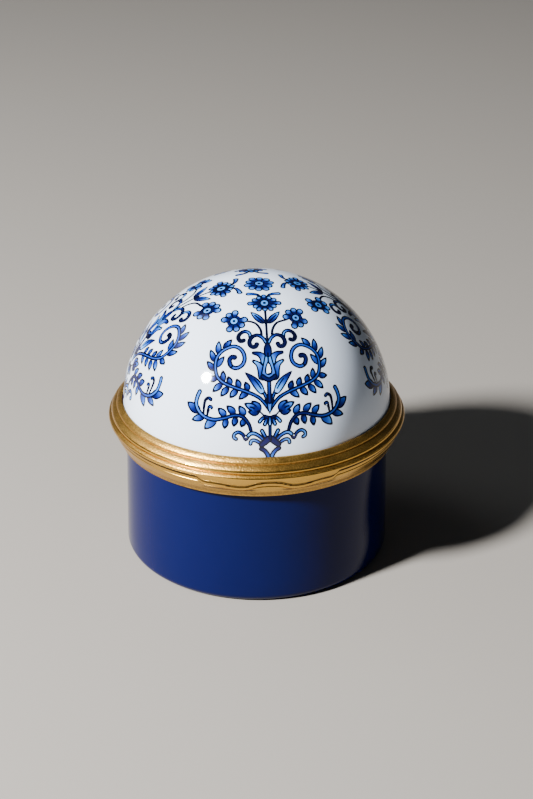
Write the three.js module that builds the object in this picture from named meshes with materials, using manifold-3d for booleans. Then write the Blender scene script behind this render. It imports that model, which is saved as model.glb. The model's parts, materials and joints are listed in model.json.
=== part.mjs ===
// Enamel ring box: a round box of enamelled copper in two gilt metal rims, with a domed lid on a small hinge.
// Millimetres, +Z up. The origin is the centre of the underside, and the thumb-piece faces -Y.
import * as THREE from "three";
import { mergeVertices } from "three/addons/utils/BufferGeometryUtils.js";
import Module from "manifold-3d";

// Base cup, of enamelled copper
const CUP_RADIUS = 19.43; // outside, at its rim
const CUP_FLARE = 0.37; // how much wider it grows down to its foot
const CUP_HEIGHT = 20.6;
const CUP_WALL = 1.0;
const CUP_FLOOR = 1.1;
const FOOT_ROUND = 1.2;
const INSIDE_ROUND = 1.6; // between the cup's wall and its floor, inside

// Fits between the pieces
const SETTING_GAP = 0.12; // between enamelled copper and the metal that holds it
const SEAM_GAP = 0.1; // between the closed lid and the base
const COLLAR_CLEARANCE = 0.18; // between the base's collar and the lid that closes over it
const COLLAR_HEADROOM = 0.2; // between the collar's top and the top of the lid's ledge

// Base bezel, the gilt ring round the cup's rim
const SKIRT_DEPTH = 2.6; // how far it comes down outside the cup
const SKIRT_WALL = 0.83; // at its lower edge
const SKIRT_EDGE_ROUND = 0.25;
const BASE_BAND_SPREAD = 1.08; // how much further out its top is than its lower edge
const BASE_BAND_HEIGHT = 1.4; // of the upright band above the groove
const BASE_BAND_CROWN = 0.06; // how far that band bulges
const GROOVE_WIDTH = 0.3;
const GROOVE_DEPTH = 0.12;
const SEAT_THICKNESS = 0.58; // of the metal over the cup's rim
const COLLAR_HEIGHT = 1.5; // of the collar that the lid closes over
const COLLAR_WALL = 0.75;

// Lid dome, of enamelled copper
const DOME_OVERHANG = 0.47; // how much further out the dome is than the cup's rim
const DOME_WALL = 1.0;
const DOME_CENTRE_DROP = 0.42; // the sphere's centre lies this far below the dome's rim

// Lid bezel, the gilt ring round the dome, with three stepped reeds
const SOCKET_DEPTH = 1.06; // how deep the dome sits in it
const LIP_WALL = 0.12; // at its upper edge, against the dome
const REED_SHARES = [0.42, 0.42, 0.16]; // of the slope, from the upper edge down
const REED_BULGE = 0.15; // of a reed's width

// Thumb-piece, a shaped lip of the lid bezel that hangs over the front of the base bezel
const THUMB_CLEARANCE = 0.12;
const THUMB_THICKNESS = 0.31;
const THUMB_HALF_ANGLE = 28.5; // degrees to each side of the front
const THUMB_DEPTH = 1.07; // of its two lobes, below the lid bezel
const THUMB_BITE = 0.2; // how far it runs up into the lid bezel
// Its lower edge, from the front to its end: share of the half angle, and share of the depth
const THUMB_EDGE = [[0, 0.32], [0.14, 0.45], [0.28, 0.88], [0.42, 1], [0.7, 0.75], [0.88, 0.68], [1, 0.04]];

// Hinge, three knuckles on a pin
const HINGE_LENGTH = 11;
const LID_KNUCKLE_LENGTH = 4.2;
const KNUCKLE_GAP = 0.15;
const BARREL_RADIUS = 0.95;
const HINGE_STANDOFF = 0.75; // from the widest reed to the pin's axis
const HINGE_CLEARANCE = 0.15; // between a barrel and the rim that turns round it
const LEAF_THICKNESS = 0.5;
const PIN_RADIUS = 0.4;
const PIN_CLEARANCE = 0.07;

// Facets
const ROUND_SEGMENTS = 60;
const DOME_STEPS = 14;
const BARREL_SEGMENTS = 20;
const THUMB_STEPS = 36;

// Heights
const seamHeight = CUP_HEIGHT + SETTING_GAP + SEAT_THICKNESS;
const lidBottom = seamHeight + SEAM_GAP;
const collarTop = seamHeight + COLLAR_HEIGHT;
const ledgeTop = collarTop + COLLAR_HEADROOM;
const domeRim = ledgeTop + SETTING_GAP;
const domeCentre = domeRim - DOME_CENTRE_DROP;
const lidBezelTop = ledgeTop + SOCKET_DEPTH;
const skirtBottom = CUP_HEIGHT - SKIRT_DEPTH;

// Radii
const cupRadiusAt = (z) =>
  CUP_RADIUS + (CUP_FLARE * (CUP_HEIGHT - z)) / (CUP_HEIGHT - FOOT_ROUND);
const cupInside = CUP_RADIUS - CUP_WALL;
const skirtEdge = cupRadiusAt(skirtBottom) + SETTING_GAP + SKIRT_WALL;
const baseBandRadius = skirtEdge + BASE_BAND_SPREAD;
const collarRadius = cupInside + COLLAR_WALL;
const lidInside = collarRadius + COLLAR_CLEARANCE;
const domeRadius = CUP_RADIUS + DOME_OVERHANG;
const socketRadius = domeRadius + SETTING_GAP;
const thumbInside = baseBandRadius + BASE_BAND_CROWN + THUMB_CLEARANCE;
const thumbOutside = thumbInside + THUMB_THICKNESS;

// Hinge axis, along X
const hingeY = thumbOutside + HINGE_STANDOFF;
const hingeZ = (seamHeight + lidBottom) / 2;

const wasm = await Module();
wasm.setup();

const point = (r, z) => new THREE.Vector2(r, z);

// Points on an arc about (r, z), from one angle to another in degrees, where 0 is outwards and 90 is up.
function arc(r, z, radius, from, to, steps) {
  return Array.from({ length: steps + 1 }, (_, i) => {
    const a = THREE.MathUtils.degToRad(from + ((to - from) * i) / steps);
    return point(r + radius * Math.cos(a), z + radius * Math.sin(a));
  });
}

// Points between two places on an outline, bulging to the left of the way from one to the other.
function bulge(from, to, height, steps) {
  const along = to.clone().sub(from);
  const side = point(-along.y, along.x).normalize();
  return Array.from({ length: steps }, (_, i) => {
    const t = i / steps;
    return from
      .clone()
      .addScaledVector(along, t)
      .addScaledVector(side, height * Math.sin(Math.PI * t));
  });
}

// A closed geometry as a solid: shared vertices are merged, and faces that collapse at the axis are dropped.
function solidOf(geometry) {
  const bare = new THREE.BufferGeometry();
  bare.setAttribute("position", geometry.getAttribute("position"));
  bare.setIndex(geometry.index);
  const merged = mergeVertices(bare, 1e-4);
  const corners = merged.index.array;
  const kept = [];
  for (let i = 0; i < corners.length; i += 3) {
    const [a, b, c] = corners.subarray(i, i + 3);
    if (a !== b && b !== c && c !== a) kept.push(a, b, c);
  }
  return new wasm.Manifold(
    new wasm.Mesh({
      numProp: 3,
      vertProperties: merged.getAttribute("position").array,
      triVerts: new Uint32Array(kept),
    }),
  );
}

// The outline, of points with radius and height, turned round the box's axis.
function turned(outline) {
  return solidOf(
    new THREE.LatheGeometry(outline, ROUND_SEGMENTS).rotateX(Math.PI / 2),
  );
}

const closed = (outline) => [...outline, outline[0].clone()];

// A disc or bar of round section along the hinge axis.
function bar(radius, from, to) {
  const made = new THREE.CylinderGeometry(
    radius,
    radius,
    to - from,
    BARREL_SEGMENTS,
  );
  made.rotateZ(-Math.PI / 2).translate((from + to) / 2, hingeY, hingeZ);
  return solidOf(made);
}

function meshOf(name, solid, material) {
  const { numProp, vertProperties, triVerts } = solid.getMesh();
  const geometry = new THREE.BufferGeometry();
  geometry.setAttribute(
    "position",
    new THREE.BufferAttribute(vertProperties, numProp),
  );
  geometry.setIndex(new THREE.BufferAttribute(triVerts, 1));
  geometry.computeVertexNormals();
  const mesh = new THREE.Mesh(geometry, material);
  mesh.name = name;
  return mesh;
}

// Base cup: a plain cup with a rounded foot, flared a little downwards.
function baseCup() {
  const footRadius = cupRadiusAt(FOOT_ROUND);
  return turned([
    point(0, 0),
    ...arc(footRadius - FOOT_ROUND, FOOT_ROUND, FOOT_ROUND, -90, 0, 4),
    point(CUP_RADIUS, CUP_HEIGHT),
    point(cupInside, CUP_HEIGHT),
    ...arc(
      footRadius - CUP_WALL - INSIDE_ROUND,
      CUP_FLOOR + INSIDE_ROUND,
      INSIDE_ROUND,
      0,
      -90,
      3,
    ),
    point(0, CUP_FLOOR),
  ]);
}

// Base bezel: skirt, groove and upright band outside, a seat over the cup's rim and the collar inside.
function baseBezel() {
  const grooveTop = point(baseBandRadius, seamHeight - BASE_BAND_HEIGHT);
  const grooveBottom = point(
    baseBandRadius - GROOVE_DEPTH,
    grooveTop.y - GROOVE_WIDTH,
  );
  const grooveFloor = point(
    baseBandRadius - 2 * GROOVE_DEPTH,
    grooveTop.y - GROOVE_WIDTH / 2,
  );
  const skirtInside = (z) => cupRadiusAt(z) + SETTING_GAP;
  const bandTop = point(baseBandRadius, seamHeight);
  const ring = turned(
    closed([
      point(skirtInside(skirtBottom), skirtBottom),
      ...arc(
        skirtEdge - SKIRT_EDGE_ROUND,
        skirtBottom + SKIRT_EDGE_ROUND,
        SKIRT_EDGE_ROUND,
        -90,
        -25,
        2,
      ),
      grooveBottom,
      grooveFloor,
      ...bulge(grooveTop, bandTop, -BASE_BAND_CROWN, 4),
      bandTop,
      point(collarRadius, seamHeight),
      point(collarRadius, collarTop),
      point(cupInside, collarTop),
      point(cupInside, CUP_HEIGHT + SETTING_GAP),
      point(skirtInside(CUP_HEIGHT), CUP_HEIGHT + SETTING_GAP),
    ]),
  );
  const outer = HINGE_LENGTH / 2;
  const inner = LID_KNUCKLE_LENGTH / 2 + KNUCKLE_GAP;
  const ringMiddle = skirtInside(CUP_HEIGHT) + SKIRT_WALL / 2;
  return ring
    .subtract(bar(BARREL_RADIUS + HINGE_CLEARANCE, -inner, inner))
    .add(knuckle(-outer, -inner, seamHeight - LEAF_THICKNESS, ringMiddle))
    .add(knuckle(inner, outer, seamHeight - LEAF_THICKNESS, ringMiddle));
}

// Knuckle: a barrel, bored for the pin, on a leaf that runs into the rim as far as the given radius.
function knuckle(from, to, leafBottom, rimRadius) {
  const leaf = solidOf(
    new THREE.BoxGeometry(to - from, hingeY, LEAF_THICKNESS).translate(
      (from + to) / 2,
      hingeY / 2,
      leafBottom + LEAF_THICKNESS / 2,
    ),
  );
  const core = turned([
    point(0, 0),
    point(rimRadius, 0),
    point(rimRadius, lidBezelTop),
    point(0, lidBezelTop),
  ]);
  return leaf
    .subtract(core)
    .add(bar(BARREL_RADIUS, from, to))
    .subtract(bar(PIN_RADIUS + PIN_CLEARANCE, from - 1, to + 1));
}

// Lid dome: a shell of one wall thickness, open below.
function lidDome() {
  const inside = domeRadius - DOME_WALL;
  const outerStart = THREE.MathUtils.radToDeg(
    Math.asin(DOME_CENTRE_DROP / domeRadius),
  );
  const innerStart = THREE.MathUtils.radToDeg(
    Math.asin(DOME_CENTRE_DROP / inside),
  );
  return turned([
    ...arc(0, domeCentre, inside, 90, innerStart, DOME_STEPS - 2),
    ...arc(0, domeCentre, domeRadius, outerStart, 90, DOME_STEPS),
  ]);
}

// Thumb-piece: a thin box bent round the front of the rim, with a waved lower edge.
function thumbPiece() {
  const edge = new THREE.SplineCurve(THUMB_EDGE.map(([u, d]) => point(u, d)));
  const samples = edge.getPoints(THUMB_STEPS * 8);
  const depthAt = (share) =>
    samples.reduce((best, p) =>
      Math.abs(p.x - share) < Math.abs(best.x - share) ? p : best,
    ).y * THUMB_DEPTH;
  const made = new THREE.BoxGeometry(2, 1, 1, THUMB_STEPS, 1, 1);
  const places = made.getAttribute("position");
  for (let i = 0; i < places.count; i++) {
    const share = places.getX(i);
    const angle = THREE.MathUtils.degToRad(share * THUMB_HALF_ANGLE);
    const radius = places.getZ(i) > 0 ? thumbOutside : thumbInside;
    const height =
      places.getY(i) > 0
        ? lidBottom + THUMB_BITE
        : lidBottom - depthAt(Math.abs(share));
    places.setXYZ(
      i,
      radius * Math.sin(angle),
      -radius * Math.cos(angle),
      height,
    );
  }
  return solidOf(made);
}

// Lid bezel: three reeds stepping out and down, a socket for the dome, the thumb-piece and the middle knuckle.
function lidBezel() {
  const upper = point(socketRadius + LIP_WALL, lidBezelTop);
  const lower = point(thumbOutside, lidBottom);
  const slope = upper.clone().sub(lower);
  const reeds = [];
  let share = 0;
  for (const part of [...REED_SHARES].reverse()) {
    const from = lower.clone().addScaledVector(slope, share);
    const to = lower.clone().addScaledVector(slope, share + part);
    reeds.push(...bulge(from, to, -REED_BULGE * from.distanceTo(to), 4));
    share += part;
  }
  const ring = turned(
    closed([
      point(lidInside, lidBottom),
      ...reeds,
      upper,
      point(socketRadius, lidBezelTop),
      point(socketRadius, ledgeTop),
      point(lidInside, ledgeTop),
    ]),
  );
  const half = LID_KNUCKLE_LENGTH / 2;
  const outer = HINGE_LENGTH / 2 + KNUCKLE_GAP;
  const clearing = BARREL_RADIUS + HINGE_CLEARANCE;
  return ring
    .add(thumbPiece())
    .subtract(bar(clearing, -outer, -half))
    .subtract(bar(clearing, half, outer))
    .add(knuckle(-half, half, lidBottom, socketRadius));
}

const hingePin = () => bar(PIN_RADIUS, -HINGE_LENGTH / 2, HINGE_LENGTH / 2);

// Gloss enamels, and gilt brass with a soft polish
const blueEnamel = new THREE.MeshStandardMaterial({
  color: "#1d3068",
  roughness: 0.12,
  metalness: 0,
});
const whiteEnamel = new THREE.MeshStandardMaterial({
  color: "#eef1f6",
  roughness: 0.1,
  metalness: 0,
});
const giltBrass = new THREE.MeshStandardMaterial({
  color: "#d0a35c",
  roughness: 0.3,
  metalness: 1,
});

const base = new THREE.Group();
base.add(
  meshOf("base_cup", baseCup(), blueEnamel),
  meshOf("base_bezel", baseBezel(), giltBrass),
  meshOf("hinge_pin", hingePin(), giltBrass),
);

const lid = new THREE.Group();
lid.add(
  meshOf("lid_dome", lidDome(), whiteEnamel),
  meshOf("lid_bezel", lidBezel(), giltBrass),
);

const ringBox = new THREE.Group();
ringBox.add(base, lid);

export default ringBox;
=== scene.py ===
"""Enamel ring box: navy base, gilt rims and a white domed lid painted with blue arabesques.

Laid out as an add-on and run as a script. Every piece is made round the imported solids, in metres, with its
place in its mesh. The painting is part of the dome's own surface: its outlines are edges of the mesh and
its colours are a colour attribute, so it is as sharp as the mesh and nothing is raised.
"""

import json
import math

import bmesh
import bpy
import numpy as np
from mathutils import Matrix, Vector
from mathutils.geometry import delaunay_2d_cdt


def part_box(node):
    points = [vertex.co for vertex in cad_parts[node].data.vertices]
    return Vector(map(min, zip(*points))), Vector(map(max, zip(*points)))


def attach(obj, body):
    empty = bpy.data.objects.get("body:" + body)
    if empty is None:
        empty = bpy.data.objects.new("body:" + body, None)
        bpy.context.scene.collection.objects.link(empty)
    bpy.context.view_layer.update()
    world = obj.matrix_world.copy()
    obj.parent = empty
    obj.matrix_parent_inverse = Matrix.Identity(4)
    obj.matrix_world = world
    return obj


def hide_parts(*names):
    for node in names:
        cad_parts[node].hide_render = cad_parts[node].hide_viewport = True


bl_info = {
    "name": "Enamel Ring Box",
    "version": (1, 0, 0),
    "blender": (4, 5, 0),
    "location": "3D View > Sidebar > Ring Box",
    "description": "Makes a round enamelled ring box with gilt rims and a painted dome",
    "category": "Add Mesh",
}

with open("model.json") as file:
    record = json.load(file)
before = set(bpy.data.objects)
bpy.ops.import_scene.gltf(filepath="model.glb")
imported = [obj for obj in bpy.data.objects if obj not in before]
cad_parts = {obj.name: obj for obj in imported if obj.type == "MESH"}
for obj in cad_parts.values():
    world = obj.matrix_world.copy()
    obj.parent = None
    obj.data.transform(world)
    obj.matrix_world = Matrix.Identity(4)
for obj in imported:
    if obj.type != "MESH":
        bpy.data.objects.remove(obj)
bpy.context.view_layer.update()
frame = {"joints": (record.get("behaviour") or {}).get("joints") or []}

MM = 0.001
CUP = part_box("base_cup")
BASE_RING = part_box("base_bezel")
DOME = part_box("lid_dome")
LID_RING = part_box("lid_bezel")
HINGE = next(j for j in frame["joints"] if j["name"] == "lid_hinge")
HINGE_AXIS = Vector(HINGE["pos_m"])

# The dome is part of a sphere, worked out from its height and the width of its rim.
DOME_RISE = DOME[1].z - DOME[0].z
DOME_RADIUS = (DOME_RISE**2 + DOME[1].x ** 2) / (2 * DOME_RISE)
DOME_CENTRE = DOME[1].z - DOME_RADIUS


def length_property(name, description, millimetres):
    return bpy.props.FloatProperty(
        name=name, description=description, default=millimetres * MM, unit="LENGTH"
    )


def colour_property(name, description, value):
    return bpy.props.StringProperty(name=name, description=description, default=value)


class RingBoxSizes(bpy.types.PropertyGroup):
    """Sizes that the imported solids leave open"""

    wall: length_property("Enamel Wall", "Thickness of the enamelled copper", 1.0)
    foot_round: length_property("Foot Round", "Radius of the cup's lower edge", 1.2)
    cup_flare: length_property("Cup Flare", "How much wider the cup is at its foot than at its rim", 0.37)
    skirt_wall: length_property("Skirt Wall", "Thickness of the base rim's lower edge", 0.83)
    setting_gap: length_property("Setting Gap", "Between the enamel and the metal that holds it", 0.12)
    band_spread: length_property("Band Spread", "How much the base rim widens to its top", 1.08)
    collar_height: length_property("Collar Height", "How far the collar stands up above the seam", 1.5)
    collar_wall: length_property("Collar Wall", "Thickness of the collar that the lid closes over", 0.75)
    seam: length_property("Seam", "Gap between the closed lid and the base", 0.1)
    thumb_wall: length_property("Thumb-Piece Wall", "Thickness of the thumb-piece", 0.31)
    ink_line: length_property("Ink Line", "Width of the painted outlines", 0.24)
    grain_width: length_property("Turning Marks", "Width of the fine turned lines in the gilt", 0.12)
    thumb_angle: bpy.props.FloatProperty(
        name="Thumb-Piece Angle",
        description="How far the thumb-piece reaches to each side of the front",
        default=math.radians(28.5),
        subtype="ANGLE",
    )


class RingBoxColours(bpy.types.PropertyGroup):
    """Colours, as sRGB hex values"""

    white: colour_property("White Enamel", "Ground of the dome and both insides", "#dceaff")
    navy: colour_property("Navy Enamel", "Outside of the cup", "#030a3d")
    gilt: colour_property("Gilt", "Both rims and the hinge", "#e4b255")
    # Colour the gilt is mixed towards where shade is painted: under the lid's lip, in a line on the base band
    # below it, and in a line on each reed.
    painted_shade_gilt: colour_property("Dark Gilt", "Gilt gone dark in the seam", "#2a1608")
    ink: colour_property("Ink", "Outlines of the painting", "#04061c")
    deep: colour_property("Deep Blue", "Dark end of the painted blues", "#0d1258")
    middle: colour_property("Middle Blue", "Middle of the painted blues", "#1d42a2")
    pale: colour_property("Pale Blue", "Light end of the painted blues", "#4b9bf4")
    floor: colour_property("Floor", "Plain floor under the box", "#8f8b86")


def linear(text):
    """sRGB hex to a linear RGBA colour."""
    out = []
    for i in (1, 3, 5):
        v = int(text[i : i + 2], 16) / 255
        out.append(v / 12.92 if v <= 0.04045 else ((v + 0.055) / 1.055) ** 2.4)
    return (*out, 1.0)


def sizes():
    return bpy.context.scene.ring_box_sizes


def colours():
    return bpy.context.scene.ring_box_colours


def link(obj):
    bpy.context.scene.collection.objects.link(obj)
    return obj


def add_node(tree, kind, settings=None, **inputs):
    """One node with its settings and inputs: a socket or a node's first output is linked, a value is set."""
    node = tree.nodes.new(kind)
    for name, value in (settings or {}).items():
        setattr(node, name, value)
    for name, value in inputs.items():
        key = name.replace("_", " ")
        socket = node.inputs[int(key[1:])] if key[1:].isdigit() else node.inputs[key]
        if isinstance(value, bpy.types.Node):
            value = value.outputs[0]
        if isinstance(value, bpy.types.NodeSocket):
            tree.links.new(value, socket)
        else:
            socket.default_value = value
    return node


def shaded(colour, factors):
    """A colour with its red, green and blue each multiplied."""
    return (*(c * f for c, f in zip(colour, factors)), 1.0)


# Materials. The patterns have their real sizes, but the turning marks and the grit are finer on a real box:
# they are drawn only as coarse as they need to be to show.

WAVE_SIZE = 6 * MM
WAVE_HEIGHT = 0.02 * MM
DOME_WAVE_SIZE = 7 * MM
NAVY_WAVE_HEIGHT = 0.025 * MM
PIT_SPACING = 2.6 * MM
PIT_DEPTH = 0.01 * MM
HAZE_SIZE = 5 * MM
CLOUD_SIZE = 8 * MM
TURNING_DEPTH = 0.012 * MM
GRIT_SIZE = 0.22 * MM
GRIT_DEPTH = 0.05 * MM
PATCH_SIZE = 3 * MM


def new_material(name, shader_values):
    """A material with a Principled shader whose plain values are set on its own sockets."""
    mat = bpy.data.materials.new(name)
    mat.use_nodes = True
    shader = mat.node_tree.nodes["Principled BSDF"]
    for key, value in shader_values.items():
        shader.inputs[key].default_value = value
    return mat, mat.node_tree, shader


def enamel_surface(tree, shader, wave, wave_height):
    """Fired glass: gently uneven from melting, with a few pin-prick pits and faint handling haze."""
    place = add_node(tree, "ShaderNodeTexCoord").outputs["Object"]
    swell = add_node(tree, "ShaderNodeTexNoise", Vector=place, Scale=1 / wave, Detail=1.0)
    pits = add_node(tree, "ShaderNodeTexVoronoi", Vector=place, Scale=1 / PIT_SPACING)
    soft = {"interpolation_type": "SMOOTHSTEP"}
    pit = add_node(tree, "ShaderNodeMapRange", soft, Value=pits, From_Min=0.0, From_Max=0.05)
    waves = add_node(tree, "ShaderNodeBump", Height=swell, Distance=wave_height)
    pitted = add_node(tree, "ShaderNodeBump", Height=pit, Distance=PIT_DEPTH, Normal=waves)
    tree.links.new(pitted.outputs[0], shader.inputs["Normal"])
    haze = add_node(tree, "ShaderNodeTexNoise", Vector=place, Scale=1 / HAZE_SIZE, Detail=3.0)
    rough = add_node(
        tree, "ShaderNodeMapRange", Value=haze, From_Min=0.35, From_Max=0.75, To_Min=0.05, To_Max=0.13
    )
    tree.links.new(rough.outputs[0], shader.inputs["Roughness"])
    return place


def painted_enamel(name):
    """White vitreous enamel with blues painted and fired into it: opaque glass under one clear gloss."""
    mat, tree, shader = new_material(name, {"IOR": 1.52})
    enamel_surface(tree, shader, DOME_WAVE_SIZE, WAVE_HEIGHT)
    paint = add_node(tree, "ShaderNodeAttribute", {"attribute_name": "paint"})
    tree.links.new(paint.outputs["Color"], shader.inputs["Base Color"])
    return mat


def tinted_enamel(name, colour, wave_height):
    """Plain vitreous enamel: one colour, a little uneven where the powder was sifted thicker or thinner."""
    mat, tree, shader = new_material(name, {"IOR": 1.52, "Specular IOR Level": 0.14})
    place = enamel_surface(tree, shader, WAVE_SIZE, wave_height)
    cloud = add_node(tree, "ShaderNodeTexNoise", Vector=place, Scale=1 / CLOUD_SIZE, Detail=4.0)
    dark, light = (shaded(linear(colour), (f, f, f)) for f in (0.88, 1.12))
    tint = add_node(tree, "ShaderNodeMixRGB", Fac=cloud, Color1=dark, Color2=light)
    tree.links.new(tint.outputs[0], shader.inputs["Base Color"])
    return mat


def gilt_brass(name):
    """Gilt brass, turned: warm metal with fine lines round it, grainy where matt, bright where rubbed, mixed
    with painted shade where the mark is below 0.
    """
    mat, tree, shader = new_material(name, {"Metallic": 1.0})
    place = add_node(tree, "ShaderNodeTexCoord").outputs["Object"]
    xyz = add_node(tree, "ShaderNodeSeparateXYZ", Vector=place).outputs
    flat = add_node(tree, "ShaderNodeCombineXYZ", X=xyz["X"], Y=xyz["Y"])
    radius = add_node(tree, "ShaderNodeVectorMath", {"operation": "LENGTH"}, i0=flat).outputs["Value"]
    turn = add_node(tree, "ShaderNodeMath", {"operation": "ARCTAN2"}, i0=xyz["Y"], i1=xyz["X"])
    times = {"operation": "MULTIPLY"}
    line = 1 / sizes().grain_width
    lathe = add_node(
        tree,
        "ShaderNodeCombineXYZ",
        X=add_node(tree, "ShaderNodeMath", times, i0=turn, i1=6.0),
        Y=add_node(tree, "ShaderNodeMath", times, i0=radius, i1=line),
        Z=add_node(tree, "ShaderNodeMath", times, i0=xyz["Z"], i1=line),
    )
    wear_and_shade = add_node(tree, "ShaderNodeAttribute", {"attribute_name": "wear_and_shade"}).outputs["Fac"]
    matt = add_node(tree, "ShaderNodeMapRange", Value=wear_and_shade, From_Max=0.9, To_Min=1, To_Max=0.12)
    lines = add_node(tree, "ShaderNodeTexNoise", Vector=lathe, Scale=1.0, Detail=2.0)
    grit = add_node(tree, "ShaderNodeTexNoise", Vector=place, Scale=1 / GRIT_SIZE, Detail=1.0)
    grain = add_node(tree, "ShaderNodeMath", times, i0=grit, i1=matt)
    marks = add_node(tree, "ShaderNodeBump", Height=lines, Distance=TURNING_DEPTH)
    grainy = add_node(tree, "ShaderNodeBump", Height=grain, Distance=GRIT_DEPTH, Normal=marks)
    tree.links.new(grainy.outputs[0], shader.inputs["Normal"])
    patches = add_node(tree, "ShaderNodeTexNoise", Vector=place, Scale=1 / PATCH_SIZE, Detail=3.0)
    patchy = add_node(
        tree, "ShaderNodeMapRange", Value=patches, From_Min=0.3, From_Max=0.7, To_Min=-0.03, To_Max=0.05
    )
    polish = add_node(tree, "ShaderNodeMapRange", Value=wear_and_shade, To_Min=0.36, To_Max=0.2)
    rough = add_node(tree, "ShaderNodeMath", {"operation": "ADD"}, i0=patchy, i1=polish)
    tree.links.new(rough.outputs[0], shader.inputs["Roughness"])
    gold = linear(colours().gilt)
    speckle = add_node(tree, "ShaderNodeMapRange", Value=grit, From_Min=0.38, From_Max=0.64)
    rubbed = add_node(tree, "ShaderNodeMapRange", Value=wear_and_shade, From_Min=0.1)
    # Below 0 the mark is painted shade, which mixes the gilt towards the painted shade colour.
    painted_shade_share = add_node(tree, "ShaderNodeMapRange", Value=wear_and_shade, From_Min=-1, From_Max=-0.1, To_Min=1, To_Max=0)
    speckled = add_node(
        tree,
        "ShaderNodeMixRGB",
        Fac=speckle,
        Color1=shaded(gold, (0.56, 0.54, 0.58)),
        Color2=shaded(gold, (0.84, 0.86, 1.0)),
    )
    worn = add_node(tree, "ShaderNodeMixRGB", Fac=rubbed, Color1=speckled, Color2=gold)
    with_painted_shade = add_node(tree, "ShaderNodeMixRGB", Fac=painted_shade_share, Color1=worn, Color2=linear(colours().painted_shade_gilt))
    tree.links.new(with_painted_shade.outputs[0], shader.inputs["Base Color"])
    return mat


def material(make, name, *values):
    """The material of that name, made the first time it is asked for."""
    return bpy.data.materials.get(name) or make(name, *values)


def gilt():
    return material(gilt_brass, "gilt brass, turned")


def white_inside():
    return material(tinted_enamel, "white vitreous enamel", colours().white, WAVE_HEIGHT)


def navy_outside():
    return material(tinted_enamel, "navy vitreous enamel", colours().navy, NAVY_WAVE_HEIGHT)


# Turned pieces, each a profile of radius and height carried round an axis by Geometry Nodes


def turning_tree():
    """Carries the profile, a line of edges with radius as X and height as Y, round the vertical axis."""
    tree = bpy.data.node_groups.get("turn a profile")
    if tree:
        return tree
    tree = bpy.data.node_groups.new("turn a profile", "GeometryNodeTree")
    inputs = {"Profile": "Geometry", "Segments": "Int", "Guide Radius": "Float", "Material": "Material"}
    for name, kind in inputs.items():
        tree.interface.new_socket(name, in_out="INPUT", socket_type="NodeSocket" + kind)
    tree.interface.new_socket("Piece", in_out="OUTPUT", socket_type="NodeSocketGeometry")
    given = tree.nodes.new("NodeGroupInput").outputs
    path = add_node(
        tree,
        "GeometryNodeCurvePrimitiveCircle",
        {"mode": "RADIUS"},
        Resolution=given["Segments"],
        Radius=given["Guide Radius"],
    )
    line = add_node(tree, "GeometryNodeMeshToCurve", Mesh=given["Profile"])
    shift = add_node(tree, "ShaderNodeCombineXYZ", X=given["Guide Radius"])
    moved = add_node(tree, "ShaderNodeVectorMath", {"operation": "SCALE"}, i0=shift, Scale=-1.0)
    placed = add_node(tree, "GeometryNodeTransform", Geometry=line, Translation=moved, Scale=(1, -1, 1))
    swept = add_node(tree, "GeometryNodeCurveToMesh", Curve=path, Profile_Curve=placed)
    merged = add_node(tree, "GeometryNodeMergeByDistance", Geometry=swept, Distance=0.001 * MM)
    smooth = add_node(tree, "GeometryNodeSetShadeSmooth", Geometry=merged)
    real = add_node(tree, "GeometryNodeRealizeInstances", Geometry=smooth)
    done = add_node(tree, "GeometryNodeSetMaterial", Geometry=real, Material=given["Material"])
    out = tree.nodes.new("NodeGroupOutput")
    tree.links.new(done.outputs["Geometry"], out.inputs["Piece"])
    return tree


def turned(name, outline, mat, segments, closed=True, sharp=math.radians(32)):
    """A mesh object of the outline, points of radius and height, turned round the vertical axis."""
    count = len(outline)
    edges = [(i, (i + 1) % count) for i in range(count if closed else count - 1)]
    line = bpy.data.meshes.new(name)
    line.from_pydata([(r, z, 0) for r, z in outline], edges, [])
    source = link(bpy.data.objects.new(name + "_profile", line))
    tree = turning_tree()
    mod = source.modifiers.new("turn", "NODES")
    mod.node_group = tree
    ids = {s.name: s.identifier for s in tree.interface.items_tree if s.in_out == "INPUT"}
    mod[ids["Segments"]] = segments
    mod[ids["Guide Radius"]] = max(r for r, _ in outline)
    mod[ids["Material"]] = mat
    bpy.context.view_layer.update()
    seen = source.evaluated_get(bpy.context.evaluated_depsgraph_get())
    mesh = bpy.data.meshes.new_from_object(seen)
    bpy.data.objects.remove(source)
    bpy.data.meshes.remove(line)
    mesh.name = name
    face_outwards(mesh)
    mesh.set_sharp_from_angle(angle=sharp)
    return link(bpy.data.objects.new(name, mesh))


def coordinates(mesh):
    """The mesh's vertices as rows of an array."""
    co = np.empty(len(mesh.vertices) * 3)
    mesh.vertices.foreach_get("co", co)
    return co.reshape(-1, 3)


def set_coordinates(mesh, co):
    mesh.vertices.foreach_set("co", co.ravel())
    mesh.update()


def from_axis(co):
    """Each vertex's distance from the vertical axis, and its angle from the front."""
    return np.hypot(co[:, 0], co[:, 1]), np.arctan2(co[:, 0], -co[:, 1])


def mark_wear_and_shade(mesh, wear_and_shade_at):
    """Stores how worn the gilt is by radius and height, and where shade is painted on it: 1 is rubbed bright,
    0 matt, and below 0 painted shade, darkest at -1.
    """
    co = coordinates(mesh)
    wear_and_shade = wear_and_shade_at(from_axis(co)[0], co[:, 2])
    layer = mesh.attributes.new("wear_and_shade", "FLOAT", "POINT")
    layer.data.foreach_set("value", np.asarray(wear_and_shade, np.float32))


def face_outwards(mesh):
    bm = bmesh.new()
    bm.from_mesh(mesh)
    bmesh.ops.remove_doubles(bm, verts=bm.verts, dist=0.0005 * MM)
    bmesh.ops.recalc_face_normals(bm, faces=bm.faces)
    if bm.calc_volume(signed=True) < 0:
        bmesh.ops.reverse_faces(bm, faces=bm.faces)
    bm.to_mesh(mesh)
    bm.free()


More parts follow.
